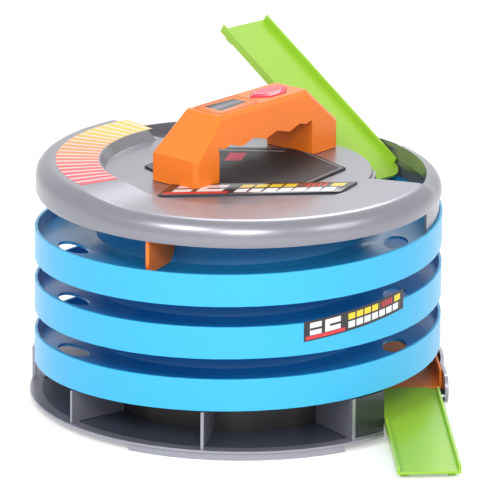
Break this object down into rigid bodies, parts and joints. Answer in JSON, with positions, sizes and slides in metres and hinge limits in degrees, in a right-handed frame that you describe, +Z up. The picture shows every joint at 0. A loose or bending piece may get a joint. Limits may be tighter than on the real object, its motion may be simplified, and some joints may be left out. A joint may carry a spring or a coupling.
{
  "type": "toy garage",
  "caption": "Round toy car garage with a spiral track, front parking bays, a carry handle, a release button with start gate, and hinged entry and exit ramps.",
  "frame": {"origin": "centre of the foot pad on the ground, on the tower's axis", "axes": "+Z up, -Y towards the parking bays at the front, +X to the right"},
  "size_m": [0.3145, 0.3813, 0.2419],
  "materials": {
    "track_blue": "gloss",
    "silver_plastic": "satin metallic",
    "orange_plastic": "gloss",
    "green_plastic": "gloss",
    "red_plastic": "gloss",
    "black_plastic": "satin",
    "grey_plastic": "matte",
    "steel": "bright"
  },
  "bodies": {
    "tower": {"track_tier_1": "track_blue", "track_tier_2": "track_blue", "track_tier_3": "track_blue", "base_tray": "silver_plastic", "lid_shell": "silver_plastic", "exit_chute": "orange_plastic", "handle_shell": "orange_plastic", "grip_cover": "orange_plastic", "deck_plate": "black_plastic", "core_sleeve": "grey_plastic", "button_spring": "steel", "upper_ramp_pin": "steel", "lower_ramp_pin": "steel", "gate_lever_pin": "steel", "base_screw_1": "steel", "base_screw_2": "steel", "base_screw_3": "steel", "base_screw_4": "steel", "lid_screw_1": "steel", "lid_screw_2": "steel", "lid_screw_3": "steel", "lid_screw_4": "steel", "handle_screw_1": "steel", "handle_screw_2": "steel", "handle_screw_3": "steel", "handle_screw_4": "steel"},
    "button": {"button": "red_plastic"},
    "release_bar": {"release_bar": "grey_plastic"},
    "release_rod": {"release_rod": "grey_plastic"},
    "gate": {"gate_lever": "grey_plastic", "start_gate": "orange_plastic"},
    "upper_ramp": {"upper_ramp": "green_plastic"},
    "lower_ramp": {"lower_ramp": "green_plastic"}
  },
  "joints": [
    {"name": "button_slide", "type": "slide", "parent": "tower", "child": "button", "axis": [0, 0, -1], "range_m": [0, 0.005], "stiffness_N_per_m": 300, "springref_m": -0.003, "deforming": ["button_spring"]},
    {"name": "bar_slide", "type": "slide", "parent": "tower", "child": "release_bar", "axis": [-0.6561, -0.7547, 0], "range_m": [0, 0.005]},
    {"name": "rod_slide", "type": "slide", "parent": "tower", "child": "release_rod", "axis": [0, 0, -1], "range_m": [0, 0.005]},
    {"name": "gate_hinge", "type": "hinge", "parent": "tower", "child": "gate", "pos_m": [-0.03331, -0.06538, 0.1525], "axis": [-0.891, 0.454, 0], "range_deg": [0, 13]},
    {"name": "upper_ramp_hinge", "type": "hinge", "parent": "tower", "child": "upper_ramp", "pos_m": [0.10041, 0.06988, 0.1505], "axis": [0.7278, 0.6858, 0], "range_deg": [0, 30]},
    {"name": "lower_ramp_hinge", "type": "hinge", "parent": "tower", "child": "lower_ramp", "pos_m": [0.12525, -0.04325, 0.01419], "axis": [-0.9962, -0.0872, 0], "range_deg": [0, 15]}
  ],
  "couplings": [
    {"joint": "bar_slide", "follows": "button_slide", "ratio": 1},
    {"joint": "rod_slide", "follows": "button_slide", "ratio": 1},
    {"joint": "gate_hinge", "follows": "button_slide", "rad_per_m": 45}
  ]
}
